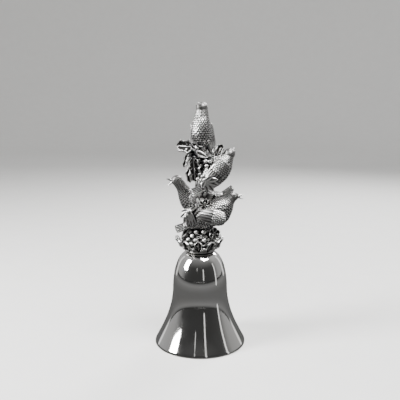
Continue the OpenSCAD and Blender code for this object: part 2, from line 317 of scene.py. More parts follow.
def plate_silver():
    """Mirror plating with faint haze, a warm breath of tarnish and spinning marks."""
    s = Shader("plate_silver")
    s.main.inputs["Metallic"].default_value = 1.0
    colour = s.ramp(s.noise(90, 5.0), [(0.3, (0.93, 0.925, 0.915)), (0.75, (0.88, 0.865, 0.83))])
    haze = s.grey_ramp(s.noise(260, 6.0, 0.7), [(0.35, 0.045), (0.75, 0.11)])
    s.join(colour, s.main.inputs["Base Color"])
    s.join(haze, s.main.inputs["Roughness"])
    where = s.add("ShaderNodeTexCoord")
    stretch = s.add("ShaderNodeMapping")
    stretch.inputs["Scale"].default_value = (0.15, 0.15, 9.0)
    marks = s.add("ShaderNodeTexNoise", scale=420.0, detail=3.0)
    s.join(where.outputs["Object"], stretch.inputs["Vector"])
    s.join(stretch.outputs["Vector"], marks.inputs["Vector"])
    s.bump(marks.outputs["Fac"], 0.05, 0.00002)
    return s.material


def bright_steel():
    """Drawn steel wire and turned steel, with fine scratches and dull patches."""
    s = Shader("bright_steel")
    s.main.inputs["Metallic"].default_value = 1.0
    colour = s.ramp(s.noise(500), [(0.3, (0.48, 0.47, 0.46)), (0.7, (0.66, 0.65, 0.64))])
    scratches = s.grey_ramp(s.noise(1500, 5.0), [(0.3, 0.2), (0.7, 0.42)])
    s.join(colour, s.main.inputs["Base Color"])
    s.join(scratches, s.main.inputs["Roughness"])
    s.bump(s.noise(3800, 3.0), 0.12, 0.00004)
    return s.material


PEWTER = pewter()
SILVER = plate_silver()
STEEL = bright_steel()

# ---------------------------------------------------------------- leaves, petals and berries


def plate(length, half_width, relief, thick, nu=48, nv=27, echo=0.0):
    """Rings, and tone, of a plate along +X whose face, towards +Z, is a height field.

    echo is how much of the face's relief and tone its underside repeats."""
    u = np.linspace(0, 1, nu)[:, None]
    v = np.linspace(-1, 1, nv)[None, :]
    x, y = length * u + 0 * v, np.maximum(half_width(u), 0.03) * v
    top, tone = relief(x, y, u + 0 * v, v + 0 * u)
    base = top.min(1, keepdims=True)
    low = base - thick * (1 - 0.6 * np.abs(v) ** 3) - echo * (top - base)
    face = np.stack([x, y, top], -1)
    under = np.stack([x, y * 0.98, low], -1)[:, ::-1][:, ::2]
    under_tone = (0.3 + echo * (tone - 0.3))[:, ::-1][:, ::2]
    return np.concatenate([face, under], 1), np.concatenate([tone, under_tone], 1)


def holly_plate(length, width, spikes, cup):
    """A holly leaf: spiked outline, raised rim, midrib and a vein to each spike."""
    first = 0.35

    def half(u):
        tooth = np.abs((u * spikes + first) % 1.0 - 0.5) * 2
        return width / 2 * np.sin(math.pi * u) ** 0.5 * (0.7 + 0.3 * tooth**2.4)

    def relief(x, y, u, v):
        side = np.abs(v)
        rim = 0.3 * smooth(side, 0.62, 0.86) * (1 - 0.5 * smooth(side, 0.9, 1.0))
        midrib = 0.28 * np.exp(-((y / 0.22) ** 2)) * (1 - 0.5 * u)
        slanted = np.cos(2 * math.pi * (u * spikes + first - 0.45 * side))
        vein = 0.14 * np.maximum(0, slanted) ** 5 * smooth(side, 0.05, 0.3)
        wave = 0.22 * np.cos(2 * math.pi * (u * spikes + first)) * side**2
        tone = 0.2 + 0.7 * smooth(side, 0.58, 0.84) + 0.7 * np.exp(-((y / 0.2) ** 2)) + 2.2 * vein
        return rim + midrib + vein + wave + cup * v**2, np.clip(tone, 0, 1)

    return plate(length, half, relief, 0.55, nu=30 * spikes)


def lance_plate(length, width, cup=-0.25):
    """A plain pointed leaf with rolled edges and a sunk midrib."""

    def half(u):
        return width / 2 * np.sin(math.pi * u**0.85) ** 0.75

    def relief(x, y, u, v):
        side = np.abs(v)
        rolled = 0.2 * smooth(side, 0.35, 0.75) - 0.12 * np.exp(-((v / 0.16) ** 2))
        tone = 0.2 + 0.8 * smooth(side, 0.18, 0.5) - 0.35 * smooth(side, 0.88, 1.0)
        return rolled * np.sin(math.pi * np.clip(u, 0.02, 0.98)) ** 0.4 + cup * v**2, tone

    return plate(length, half, relief, 0.5, nu=36, nv=21)


def petal_plate(length, width):
    """A petal that widens outwards, with a raised rim and a creased middle."""

    def half(u):
        return width / 2 * np.sin(math.pi * (0.08 + 0.92 * u) ** 1.7) ** 0.6

    def relief(x, y, u, v):
        outward = np.maximum(np.abs(v), u**2)
        rim = 0.22 * smooth(outward, 0.6, 0.9)
        tone = 0.38 + 0.55 * smooth(outward, 0.5, 0.8)
        return rim - 0.14 * np.exp(-((v / 0.2) ** 2)) * (1 - u) + 0.3 * u**2, tone

    return plate(length, half, relief, 0.4, nu=30, nv=19)


def leaf(casting, shape, root, along, facing, curl=None):
    """Adds a plate that grows from root along a direction. curl is the radius it curls down with."""
    rings, tone = shape
    if curl:
        rings = curled(rings, curl)
    casting.shell(placed(rings, root, along, facing), tone)


def grow(casting, shape, root, tip, facing, curl=None):
    """Adds a leaf that grows from root towards tip."""
    leaf(casting, shape, root, np.subtract(tip, root), facing, curl)


def reach(root, tip):
    """The distance from root to tip."""
    return float(np.linalg.norm(np.subtract(tip, root)))


def berries(casting, places, radius, up=(0, -1, 0.3)):
    for at in places:
        casting.ball(at, radius, up=up)


# ---------------------------------------------------------------- birds


def scales(q, b):
    """Overlapping feathers: q counts rows towards the head, b counts feathers around.

    Gives each point's height, from 0 to 1, and its tone."""
    row = np.floor(q)

    def feather(r):
        lane = b + 0.5 * (r % 2)
        wobble = np.sin(12.99 * r + 78.23 * np.floor(lane))
        along = r - q + 0.09 * wobble
        across = lane % 1.0 - 0.5 + 0.05 * np.sin(39.35 * wobble)
        shaft = np.exp(-((across / 0.07) ** 2))
        barbs = np.cos(2 * math.pi * (along * 3.2 - np.abs(across) * 4.0))
        height = along / 1.75 * 0.62 + 0.26 * (1 - 4 * across**2)
        height = height + 0.1 * shaft + 0.035 * barbs + 0.09 * wobble
        tone = smooth(along, 0.8, 1.55) * (1 - 0.75 * smooth(np.abs(across), 0.33, 0.5))
        return along, across, height, tone + 0.2 * shaft + 0.07 * barbs

    over_along, over_across, over, over_tone = feather(row + 2)
    _, _, under, under_tone = feather(row + 1)
    edge = 1 + 0.72 * np.sqrt(np.maximum(0, 1 - (2.05 * over_across) ** 2))
    covers = over_along < edge
    shade = smooth(over_along - edge, 0, 0.16)
    return np.where(covers, over, under), np.clip(np.where(covers, over_tone, under_tone * shade), 0, 1)


def loft(rows):
    """A feathered body and its tone, tail first.

    Each row is [x, y, z, tilt in degrees, half width, half height]."""
    count, around, feathers_around, lift = 210, 150, 24, 0.38
    x, y, z, tilt, wide, tall = spline(rows, count).T
    tilt = np.radians(tilt)
    a = circle(around)[None, :]
    up = np.stack([-np.sin(tilt), 0 * tilt, np.cos(tilt)], -1)[:, None]
    side = np.array([0.0, 1.0, 0.0])
    out = side * np.cos(a)[..., None] * wide[:, None, None]
    out = out + up * np.sin(a)[..., None] * tall[:, None, None]
    size = np.sqrt(np.maximum(wide * tall, 0.05))
    step = np.hypot(np.gradient(x), np.gradient(z))
    q = np.cumsum(step * feathers_around / (2 * math.pi * size * 0.8))[:, None]
    bare = smooth(np.linspace(1, 0, count), 0.05, 0.3)[:, None]
    height, tone = scales(q + 0 * a, a / (2 * math.pi) * feathers_around + 0 * q)
    height = (height - 0.7) * lift * (0.35 + 0.65 * bare) * np.minimum(1, size / 4.2)[:, None] ** 0.7
    centre = np.stack([x, y, z], -1)[:, None]
    tone = 0.5 + (tone - 0.45) * (0.45 + 0.55 * bare)
    return centre + out * (1 + height / np.maximum(size, 0.6)[:, None])[..., None], tone


def feathered(x, y, ground, feathers):
    """Height and tone of a plate under overlapping feathers.

    Each feather is (root x, root y, heading in degrees, length, half width, layer)."""
    top, tone = ground.copy(), np.full(ground.shape, 0.1)
    for root_x, root_y, heading, length, half, layer in feathers:
        c, s = math.cos(math.radians(heading)), math.sin(math.radians(heading))
        along = ((x - root_x) * c + (y - root_y) * s) / length
        across = ((y - root_y) * c - (x - root_x) * s) / half
        width = np.sqrt(np.clip(along / 0.12, 0, 1))
        width = width * np.sqrt(np.maximum(1 - (np.maximum(along - 0.74, 0) / 0.26) ** 2, 0))
        inside = (along > 0) & (along < 1) & (np.abs(across) < width)
        edge = np.abs(across) / np.maximum(width, 1e-3)
        dome = np.sqrt(np.maximum(1 - edge**2, 0))
        shaft = np.exp(-((across / 0.14) ** 2))
        barbs = np.cos(2 * math.pi * (along * length - np.abs(across) * half) / 0.42)
        height = ground + 0.1 * layer + 0.3 * dome + 0.14 * along + 0.06 * shaft + 0.015 * barbs
        wear = 0.35 + 0.5 * smooth(along, 0.3, 0.95) + 0.2 * shaft
        wear = wear - 0.55 * smooth(edge, 0.6, 1.0) + 0.06 * barbs
        over = inside & (height > top)
        top, tone = np.where(over, height, top), np.where(over, wear, tone)
    return top, np.clip(tone, 0, 1)


def wing_plate(length, width, rows=6, bow=1.2):
    """A folded wing, shoulder at the origin: scaly shoulder, coverts and long flight feathers."""
    step = width * 0.86 / (rows - 1)
    flight = [
        (
            length * (0.34 - 0.012 * k),
            width * 0.4 - step * k,
            1.5 * (k - rows / 2),
            length * (0.66 - 0.028 * k),
            step * 0.62,
            1.2 + 0.5 * (rows - k),
        )
        for k in range(rows)
    ]
    coverts = [
        (length * 0.24, width * (0.42 - 0.168 * k), 0, length * 0.19, width * 0.1, 4.4) for k in range(6)
    ]
    shoulder = [
        (
            length * (0.005 + 0.06 * i),
            width * 0.44 * (j - 3.5 + 0.5 * (i % 2)) / 3.6,
            0,
            length * 0.11,
            width * 0.075,
            6.2 - 0.3 * i,
        )
        for i in range(5)
        for j in range(8)
    ]
    edge = [
        (length * (0.3 + 0.075 * k), width * 0.44, 0, length * 0.09, width * 0.07, 4.6 - 0.3 * k)
        for k in range(6)
    ]

    def half(u):
        return width / 2 * np.sin(math.pi * np.clip(0.008 + 0.992 * u, 0, 1) ** 0.6) ** 0.5

    def relief(x, y, u, v):
        ground = bow * (1 - v**2) * (1 - 0.3 * u)
        top, tone = feathered(x, y, ground, flight + coverts + shoulder + edge)
        rounded = 1 - smooth(np.abs(v), 0.94, 1.0)
        return top * (0.3 + 0.7 * rounded), tone * rounded

    return plate(length, half, relief, 1.3, nu=165, nv=80, echo=0.5)


def tail_plate(length, width, quills=5):
    """A squared tail of long feathers with a bright raised end."""

    def half(u):
        return width / 2 * (0.62 + 0.38 * u) * np.sqrt(np.clip((1.0 - u) / 0.05, 0, 1)) ** 0.5

    def relief(x, y, u, v):
        quill = np.abs(np.cos(math.pi * quills / 2 * v))
        barbs = 0.02 * np.cos(2 * math.pi * (x - np.abs(y) * 0.8) / 0.42)
        edge = smooth(np.maximum(u, np.abs(v)), 0.8, 0.92)
        tone = 0.02 + 0.6 * quill**0.7 + 0.6 * edge
        return 0.42 * quill**0.6 + barbs + 0.22 * edge, np.clip(tone, 0, 1)

    return plate(length, half, relief, 0.8, nu=90, nv=61, echo=0.8)


def head(casting, centre, radius, look, gape, beak_length):
    """A round head with brows, eyes and an open beak. look is where it faces; gape is in degrees."""
    centre, look = np.asarray(centre, float), unit(look)
    side = unit(np.cross(look, (0, 0, 1)))
    up = np.cross(side, look)
    a, b = ball_grid(90, 130)
    height, tone = scales(a * -5.2 + 0 * b, b / (2 * math.pi) * 22 + 0 * a)
    smoothed = smooth(np.sin(a), 0.25, 0.9) * (0.35 + 0.65 * smooth(a, 0.6, 2.0))
    crown = 1 + 0.05 * np.cos(2 * a) + (height - 0.6) * 0.055 * smoothed
    ring = np.stack([np.cos(a) + 0 * b, np.sin(a) * np.cos(b), np.sin(a) * np.sin(b)], -1)
    ring = ring * crown[..., None]
    tone = 0.42 + (tone - 0.5) * smoothed * 0.8
    casting.shell(centre + radius * ring @ np.stack([look, side, up]), tone)
    for hand in (-1, 1):
        eye = centre + radius * (0.52 * look + 0.80 * hand * side + 0.30 * up)
        out = [math.cos(t) * look + math.sin(t) * up for t in circle(12)]
        socket = [eye + 0.42 * ray + 0.1 * hand * side for ray in out]
        for at, ahead in zip(socket, socket[1:] + socket[:1]):
            casting.tube([at, ahead], [0.09, 0.09], around=8, count=3)
        casting.ball(eye, 0.3, up=hand * side, rows=12)
    root = centre + look * radius * 0.72
    for lift, hook, thick in ((gape * 0.42, 0.18, 0.78), (-gape * 0.58, 0.1, 0.62)):
        turn = math.radians(lift)
        point = unit(look * math.cos(turn) + up * math.sin(turn))
        tip = root + point * (beak_length + radius * 0.28)
        bend = up * hook * np.sign(lift)
        path = [root, (root + tip) / 2 + bend * 0.6, tip - bend * 0.4]
        casting.tube(path, [thick, thick * 0.62, 0.12])


def right_bird():
    bird = Casting()
    rows = [
        [-6.6, -4.2, 50.9, 16, 1.2, 0.8],
        [-4.2, -4.2, 51.7, 18, 2.6, 2.2],
        [0.4, -4.1, 53.7, 19, 3.9, 4.3],
        [4.4, -4.0, 55.3, 24, 4.3, 5.0],
        [7.8, -3.8, 56.8, 36, 4.3, 5.2],
        [10.1, -3.5, 59.3, 48, 3.5, 4.0],
        [11.6, -3.3, 61.1, 54, 2.5, 2.6],
        [12.6, -3.2, 62.2, 50, 2.2, 2.2],
        [13.3, -3.2, 63.0, 48, 1.9, 1.9],
        [13.8, -3.2, 63.6, 45, 1.1, 1.1],
    ]
    bird.shell(*loft(rows))
    head(bird, (13.2, -3.2, 62.8), 2.2, (1, -0.04, -0.03), 34, 2.2)
    leaf(bird, wing_plate(12.6, 6.6), (10.2, -7.4, 54.2), (-12.4, -0.1, 2.3), (0.04, -1, 0.02))
    leaf(bird, wing_plate(11.0, 5.6, bow=0.8), (10.2, -0.4, 55.2), (-11.0, 0.1, 1.0), (0.04, 1, 0.02))
    leaf(bird, tail_plate(7.4, 3.8), (-3.0, -4.6, 52.0), (-7.0, -0.3, -2.6), (-0.35, -0.75, 0.6))
    piece("right_bird_cast", bird, PEWTER, node="right_bird")


def left_bird():
    bird = Casting()
    rows = [
        [9.6, 6.0, 62.0, -166, 1.4, 1.0],
        [6.6, 6.0, 60.8, -167, 3.0, 2.8],
        [2.4, 5.9, 59.5, -168, 4.2, 4.7],
        [-1.4, 5.7, 59.0, 180, 4.4, 5.3],
        [-4.2, 5.3, 60.2, 150, 4.0, 5.0],
        [-6.0, 4.7, 62.6, 130, 3.0, 3.6],
        [-7.4, 4.1, 65.2, 122, 2.4, 2.5],
        [-8.9, 3.4, 67.6, 124, 2.25, 2.25],
        [-9.5, 3.2, 68.6, 128, 1.95, 1.95],
        [-9.9, 3.1, 69.3, 130, 1.1, 1.1],
    ]
    bird.shell(*loft(rows))
    head(bird, (-9.5, 3.2, 68.4), 2.3, (-1, -0.08, -0.12), 62, 2.4)
    leaf(bird, wing_plate(12.4, 6.2), (-5.0, 9.2, 58.4), (12.2, 0.3, 1.8), (0, 1, 0.05))
    leaf(bird, wing_plate(11.0, 5.0), (-4.4, 2.2, 60.6), (11.0, -0.2, 1.6), (0, -1, 0.25))
    leaf(bird, tail_plate(8.8, 3.6), (6.4, 6.0, 60.2), (7.4, 0.2, 4.8), (-0.45, -0.4, 0.85))
    piece("left_bird_cast", bird, PEWTER, node="left_bird")


def middle_bird():
    bird = Casting()
    rows = [
        [0.6, -3.4, 66.2, 36, 1.6, 1.0],
        [2.4, -3.2, 68.0, 42, 3.2, 3.2],
        [4.9, -3.0, 71.0, 46, 4.2, 4.7],
        [7.4, -2.8, 73.8, 48, 4.4, 5.0],
        [9.4, -2.5, 76.4, 50, 3.8, 4.3],
        [10.8, -2.2, 78.2, 54, 2.8, 2.9],
        [11.5, -2.0, 79.2, 58, 2.3, 2.3],
        [11.9, -1.9, 80.2, 62, 1.9, 1.9],
        [12.1, -1.9, 80.9, 66, 1.1, 1.1],
    ]
    bird.shell(*loft(rows))
    head(bird, (11.8, -1.9, 79.8), 2.35, (0.55, 0.85, 0.35), 44, 2.2)
    leaf(bird, wing_plate(13.6, 7.0, rows=7), (10.4, -6.2, 77.0), (-8.8, -0.5, -9.8), (0.14, -1, 0.1))
    leaf(bird, wing_plate(12.4, 5.6, rows=6), (10.0, 0.9, 77.0), (-8.0, 0.0, -9.0), (0.1, 1, -0.1))
    leaf(bird, tail_plate(8.2, 3.9), (3.4, -5.4, 67.6), (-7.2, -1.0, -3.2), (-0.3, -0.85, 0.6))
    piece("middle_bird_cast", bird, PEWTER, node="middle_bird")


def top_bird():
    radius = 2.45
    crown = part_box("top_bird")[1][2] / MM
    bird = Casting()
    rows = [
        [2.4, 1.6, 82.2, 100, 1.6, 1.2],
        [1.4, 0.6, 83.6, 96, 3.4, 3.2],
        [0.7, -0.4, 86.6, 92, 4.4, 4.2],
        [0.5, -0.7, 89.4, 90, 4.3, 4.1],
        [0.5, -0.7, 92.4, 88, 3.8, 3.6],
        [0.7, -0.6, 94.8, 88, 3.0, 2.9],
        [0.8, -0.6, 96.6, 88, 2.55, 2.5],
        [0.8, -0.5, 98.0, 90, 2.2, 2.2],
        [0.8, -0.4, 98.9, 90, 1.2, 1.2],
    ]
    bird.shell(*loft(rows))
    head(bird, (0.8, -0.6, crown - radius), radius, (-0.35, -0.9, 0.3), 40, 2.3)
    leaf(bird, wing_plate(11.0, 6.0, bow=0.9), (-1.9, 0.1, 91.4), (-0.6, 1.2, -10.6), (-0.9, -0.36, 0.0))
    leaf(bird, wing_plate(12.0, 6.6, bow=0.9), (2.7, 0.0, 91.6), (2.6, 1.5, -11.0), (0.88, -0.44, 0.1))
    leaf(bird, tail_plate(7.6, 3.9), (2.6, 3.0, 84.4), (4.0, 4.2, -6.4), (0.7, 0.5, 0.6))
    piece("top_bird_cast", bird, PEWTER, node="top_bird")


# ---------------------------------------------------------------- foliage


def upper_foliage():
    c = Casting()
    grow(
        c, holly_plate(6.6, 6.6, spikes=2, cup=0.7), (-2.7, -5.2, 82.6), (-8.9, -5.6, 83.4),
        (-0.1, -1, 0.45),
    )
    c.twig((-3.4, -5.2, 82.3), (-1.4, -1.2, 81.4), 0.9, 1.4)
    piece("upper_leaf_cast", c, PEWTER, node="upper_leaf")

    c = Casting()
    grow(
        c, holly_plate(8.6, 4.4, spikes=3, cup=0.5), (-4.2, -5.4, 84.0), (3.6, -5.9, 79.8),
        (0.1, -1, 0.55), curl=9,
    )
    grow(c, lance_plate(6.0, 2.4), (-2.4, -5.2, 81.2), (3.2, -5.8, 78.6), (0, -1, 0.2))
    c.twig((-2.4, -5.2, 82.4), (-0.4, -1.4, 81.2), 1.2, 1.6)
    piece("upper_band_cast", c, PEWTER, node="upper_band")

    c = Casting()
    grow(
        c, holly_plate(10.2, 5.8, spikes=4, cup=0.7), (-2.9, -5.0, 79.0), (-1.5, -6.0, 68.9),
        (0.15, -1, 0.1), curl=16,
    )
    grow(
        c, holly_plate(6.2, 2.6, spikes=2, cup=0.6), (-4.2, -4.6, 80.6), (-6.2, -5.0, 74.8),
        (-0.5, -1, 0.1),
    )
    grow(
        c, holly_plate(5.8, 2.6, spikes=2, cup=0.9), (-3.9, -4.6, 74.2), (-5.5, -5.3, 68.7),
        (-0.8, -1, 0.1), curl=5,
    )
    c.twig((-2.8, -4.9, 78.8), (-0.6, -1.4, 77.6), 1.1, 1.6)
    c.twig((-4.2, -4.6, 80.2), (-1.2, -1.4, 79.4), 0.8, 1.2)
    c.twig((-3.9, -4.6, 74.2), (-1.2, -1.4, 74.4), 0.8, 1.2)
    piece("hanging_leaves_cast", c, PEWTER, node="hanging_leaves")

    c = Casting()
    berries(c, [(2.2, -6.0, 77.2), (3.9, -6.2, 77.2), (2.6, -6.4, 75.4)], 0.8)
    c.twig((2.9, -6.0, 76.8), (1.4, -2.0, 77.2), 0.6, 1.1)
    piece("upper_berries_cast", c, PEWTER, node="upper_berries")

    c = Casting()
    grow(
        c, holly_plate(5.6, 4.0, spikes=2, cup=1.1), (6.4, -3.2, 78.2), (8.4, -3.4, 83.4),
        (-0.25, -1, 0.2), curl=7,
    )
    grow(c, lance_plate(5.0, 2.2), (5.6, -2.8, 78.4), (5.2, -3.2, 83.0), (-0.6, -1, 0.2), curl=6)
    c.twig((6.2, -3.0, 78.6), (1.8, -0.6, 78.6), 0.9, 1.3)
    c.ball((6.2, -4.3, 78.4), 0.8, up=(0, -1, 0.3))
    piece("curled_leaves_cast", c, PEWTER, node="curled_leaves")


def sprays():
    c = Casting()
    root = np.array([2.0, -8.6, 69.9])
    tips = [(7.2, 70.4), (7.7, 67.9), (5.7, 65.6), (3.1, 65.0), (0.7, 67.2), (5.0, 71.9)]
    for (x, z), width in zip(tips, (2.3, 2.4, 2.4, 2.3, 2.1, 1.9)):
        tip = (x, -9.6, z)
        grow(c, lance_plate(reach(root, tip), width, cup=-0.35), root, tip, (0, -1, 0.1), curl=12)
    c.twig(root, (1.6, -2.0, 70.4), 1.0, 1.6)
    piece("front_spray_cast", c, PEWTER, node="front_spray")

    c = Casting()
    berries(c, [(1.1, -8.5, 71.6), (-0.9, -7.8, 70.4), (0.5, -8.2, 70.2)], 0.72)
    piece("front_berries_cast", c, PEWTER, node="front_berries")

    c = Casting()
    root = np.array([-4.4, -7.6, 57.6])
    tips = [(-1.7, -9.0, 51.2), (-3.3, -9.0, 50.5), (-5.1, -8.8, 51.1),
            (-6.8, -8.4, 52.5), (-8.1, -7.7, 54.8), (-7.8, -7.2, 57.4)]
    for tip, width in zip(tips, (2.1, 2.0, 2.1, 2.1, 2.0, 1.9)):
        grow(
            c, lance_plate(reach(root, tip), width, cup=-0.3), root, tip,
            (-0.1, -1, 0.1), curl=14,
        )
    c.twig(root, (-2.4, -2.6, 56.6), 1.0, 1.5)
    berries(c, [(-4.9, -8.2, 57.3), (-6.1, -8.1, 55.2)], 0.75)
    piece("left_spray_cast", c, PEWTER, node="left_spray")

    c = Casting()
    root = np.array([1.8, -6.2, 60.2])
    for a in circle(7):
        tip = root + 2.7 * np.array([math.cos(a), -0.28 - 0.3 * math.sin(a), 0.8 * math.sin(a)])
        grow(c, petal_plate(2.7, 1.7), root, tip, (0, -1, 0.9))
    c.ball(root + (0, -0.5, 0.5), 0.7, up=(0, -1, 0.9))
    c.twig(root, (1.4, -3.4, 58.2), 0.9, 1.4)
    piece("back_rosette_cast", c, PEWTER, node="back_rosette")


def rear_foliage():
    c = Casting()
    back = (0, 1, 0.15)
    grow(
        c, holly_plate(9.6, 5.4, spikes=4, cup=0.7), (0.4, 4.8, 79.0), (-0.4, 5.8, 69.4),
        back, curl=16,
    )
    grow(
        c, holly_plate(6.8, 4.6, spikes=3, cup=0.7), (-0.6, 4.8, 79.4), (-6.6, 5.2, 76.6),
        back, curl=12,
    )
    grow(c, holly_plate(6.8, 4.6, spikes=3, cup=0.7), (1.2, 4.8, 79.2), (6.8, 5.2, 75.4), back, curl=12)
    grow(
        c, holly_plate(5.6, 4.2, spikes=2, cup=0.7), (0.0, 4.8, 79.4), (-3.2, 5.0, 84.0),
        back, curl=12,
    )
    c.twig((0.2, 5.0, 79.0), (0.2, 2.0, 78.4), 1.4, 1.9)
    piece("rear_sprig_cast", c, PEWTER, node="rear_sprig")

    c = Casting()
    berries(c, [(0.3, 6.2, 79.8), (1.7, 6.1, 78.8), (-1.2, 6.1, 78.9)], 0.8, up=(0, 1, 0.3))
    piece("rear_berries_cast", c, PEWTER, node="rear_berries")


def stem():
    """The stem, wrapped in overlapping bark-like leaves, and the mound at its foot."""
    low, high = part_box("handle_core")
    c = Casting()
    levels = np.linspace(51.0, high[2] / MM, 240)[:, None]
    a = circle(120)[None, :]
    lumps, tone = scales(levels / -2.4 + 0 * a, a / (2 * math.pi) * 7 + 0 * levels)
    r = 2.15 + lumps * 0.5
    c.shell(np.stack([0.4 + r * np.cos(a), 0.9 + r * np.sin(a), levels + 0 * a], -1), tone)
    levels = np.linspace(low[2] / MM, 51.5, 90)[:, None]
    lumps, tone = scales(levels / -1.7 + 0 * a, a / (2 * math.pi) * 14 + 0 * levels)
    r = 5.4 - 1.2 * (levels - 42.8) / 8.7 + lumps * 0.4
    c.shell(np.stack([r * np.cos(a), r * np.sin(a), levels + 0 * a], -1), tone)
    piece("handle_stem_cast", c, PEWTER, node="handle_core")


# ---------------------------------------------------------------- collar


def collar():
    low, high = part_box("collar_cup")
    base, top = low[2] / MM, high[2] / MM
    c = Casting()
    bead = [(5.9, base), (6.35, base + 0.35), (6.45, base + 0.75), (6.05, base + 1.15)]
    flare = [(6.3, base + 1.6), (7.1, base + 2.6), (8.2, base + 3.6), (8.45, top - 0.1)]
    outline = [(1.6, base), *bead, *flare, (8.0, top), (7.2, top - 0.8), (1.6, top - 0.9)]
    profile = np.vstack([spline(outline[1:11], 60), outline[11:], outline[:1]])
    a, level = circle(160)[None, :], profile[:, 1:]
    r = profile[:, :1] * (1 + 0.018 * np.cos(22 * a) * smooth(level, base + 1.3, base + 2.2))
    ring = np.stack([r * np.cos(a), r * np.sin(a), level + 0 * a], -1)
    # The bead band is lifted in tone: a painted highlight running round the ring.
    bead_highlight = smooth(level, base + 0.05, base + 0.3) * (1 - smooth(level, base + 0.85, base + 1.1))
    c.shell(ring, 0.4 + 0.6 * bead_highlight + 0 * a)
    piece("collar_cup_cast", c, PEWTER, node="collar_cup")

    c = Casting()
    leaves = 11
    for k in range(leaves):
        turn = 2 * math.pi * (k / leaves + 0.01)
        out = np.array([math.cos(turn), math.sin(turn), 0.0])
        rise = 0.62 if k % 2 else 0.86
        along = out * 1.0 + np.array([0, 0, rise])
        root = out * 6.1 + np.array([0, 0, base + 1.2])
        grow(
            c, holly_plate(5.6 + 0.5 * (k % 2), 4.4, spikes=2, cup=0.6), root, root + along,
            out + (0, 0, -0.9), curl=9,
        )
        side = np.array([-out[1], out[0], 0.0])
        c.ball(out * 7.4 + side * 2.1 + (0, 0, base + 2.2), 0.85, up=out)
        c.ball(out * 7.0 + side * 1.2 + (0, 0, base + 1.6), 0.6, up=out)
    piece("collar_leaves_cast", c, PEWTER, node="collar_leaves")

    c = Casting()
    flower = np.array([5.6, -5.6, 47.8])
    per_ring = 12
    for ring_no in range(4):
        for k in range(per_ring):
            turn = 2 * math.pi * (k + 0.5 * (ring_no % 2)) / per_ring
            r = 7.2 - 0.5 * ring_no
            out = np.array([math.cos(turn), math.sin(turn), 0.0])
            at = out * r + (0, 0, top - 0.1 + 1.6 * ring_no)
            if np.linalg.norm(at - flower) > 3.4 and (3 * k + 5 * ring_no) % 7 != 2:
                c.ball(at, 0.95, up=out + (0, 0, 0.4))
            elif np.linalg.norm(at - flower) > 3.4:
                side = np.array([-out[1], out[0], 0.0])
                start, end = at - side * 1.8, at + side * 1.8 + out * 0.3
                grow(c, holly_plate(3.6, 2.0, spikes=2, cup=0.5), start, end, out + (0, 0, 0.4))
    grow(c, lance_plate(5.4, 2.0), (-4.6, -4.6, 49.9), (-8.4, -5.2, 46.0), (-0.5, -1, 0.3), curl=9)
    piece("collar_berries_cast", c, PEWTER, node="collar_berries")

    c = Casting()
    look = unit((0.45, -0.86, 0.2))
    side = unit(np.cross((0, 0, 1), look))
    up = np.cross(look, side)
    petals, stamens = 6, 5
    for k in range(petals):
        turn = 2 * math.pi * (k + 0.3) / petals
        out = math.cos(turn) * side + math.sin(turn) * up
        grow(c, petal_plate(2.7, 2.1), flower + look * 0.1, flower + look * 0.5 + out * 2.7, look)
    for k in range(stamens):
        turn = 2 * math.pi * k / stamens
        out = math.cos(turn) * side + math.sin(turn) * up
        c.ball(flower + look * 0.55 + 0.5 * out, 0.3, up=look, rows=10)
    c.tube([flower + look * 0.1, flower - look * 3.0], [1.3, 1.0])
    piece("poinsettia_cast", c, PEWTER, node="poinsettia")


# ---------------------------------------------------------------- bell and clapper


def bell():
    """The spun shell with its rolled lip: the CAD's skirt and shoulder curves, at one wall thickness."""
    low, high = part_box("bell_shell")
    mouth, crown, wall = high[0] / MM, high[2] / MM, 1.0
    waist, waist_z, bore = 11.4, 23.8, 1.56
    skirt = [(mouth - 0.15, 1.0), (mouth - 2.6, 5.6), (waist + 0.15, waist_z - 10), (waist, waist_z)]
    shoulder = [(waist, waist_z), (waist - 0.2, waist_z + 7.7), (9.4, crown - 1.3), (5.0, crown)]

    def arc(points, count):
        t = np.linspace(0, 1, count)[:, None]
        a, b, c, d = (np.array(p) for p in points)
        return a * (1 - t) ** 3 + 3 * b * t * (1 - t) ** 2 + 3 * c * t**2 * (1 - t) + d * t**3

    outer = np.vstack([arc(skirt, 70), arc(shoulder, 70)[1:], [(bore, crown)]])
    slope = unit(np.gradient(outer, axis=0))
    inner = outer + np.column_stack([-slope[:, 1], slope[:, 0]]) * wall
    inner[-1] = (bore, crown - wall)
    inside = [(mouth - 0.98, 0.55), (mouth - 1.02, 0.12), (mouth - 0.8, 0.0)]
    outside = [(mouth - 0.2, 0.0), (mouth, 0.18), (mouth, 0.5), (mouth - 0.15, 1.0)]
    lip = np.clip(spline(inside + outside, 26), 0, mouth)
    outline = np.vstack([inner[::-1][:-2], lip, outer[1:]])
    a = circle(256)[None, :]
    ring = np.stack([outline[:, :1] * np.cos(a), outline[:, :1] * np.sin(a), outline[:, 1:] + 0 * a], -1)
    c = Casting()
    c.shell(ring, tyre=True)
    piece("bell_spun", c, SILVER, node="bell_shell")


def hangings():
    """The hidden metalwork keeps its CAD shape and takes a wire or plated finish."""
    for name in ("crown_washer", "eye_screw", "clapper_link", "clapper_stem"):
        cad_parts[name].data.materials[0] = STEEL
    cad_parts["clapper_ball"].data.materials[0] = SILVER


# ---------------------------------------------------------------- studio


def paint(name, colour, rough):
    s = Shader(name)
    grain = s.noise(60, 3.0)
    tone = [tuple(level * k for level in colour) for k in (0.97, 1.0)]
    s.join(s.ramp(grain, [(0.3, tone[0]), (0.7, tone[1])]), s.main.inputs["Base Color"])
    s.main.inputs["Roughness"].default_value = rough
    return s.material


